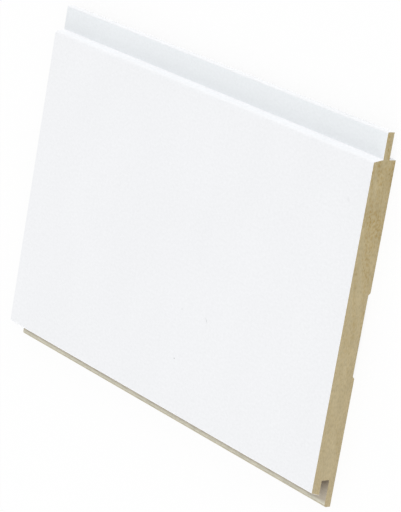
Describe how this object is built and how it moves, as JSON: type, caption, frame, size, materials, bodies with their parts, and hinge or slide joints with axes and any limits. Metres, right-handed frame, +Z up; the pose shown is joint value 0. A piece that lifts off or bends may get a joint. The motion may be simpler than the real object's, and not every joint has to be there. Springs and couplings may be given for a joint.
{
  "type": "tongue and groove board",
  "caption": "Short length of white-primed MDF wall board with a set-back tongue on one edge, a groove with a long back lip on the other and a shallow relief along its back.",
  "frame": {"origin": "under the middle of the board, on the plane of its back", "axes": "+X along the board, +Y across it towards the tongue, +Z up to the painted face"},
  "size_m": [0.238, 0.1656, 0.012],
  "materials": {
    "primed_mdf": "white primer on the face, shoulders and tongue; bare tan MDF on the sawn ends, in the groove, on the back lip and on the back"
  },
  "bodies": {
    "root": {"board": "primed_mdf"}
  },
  "joints": []
}
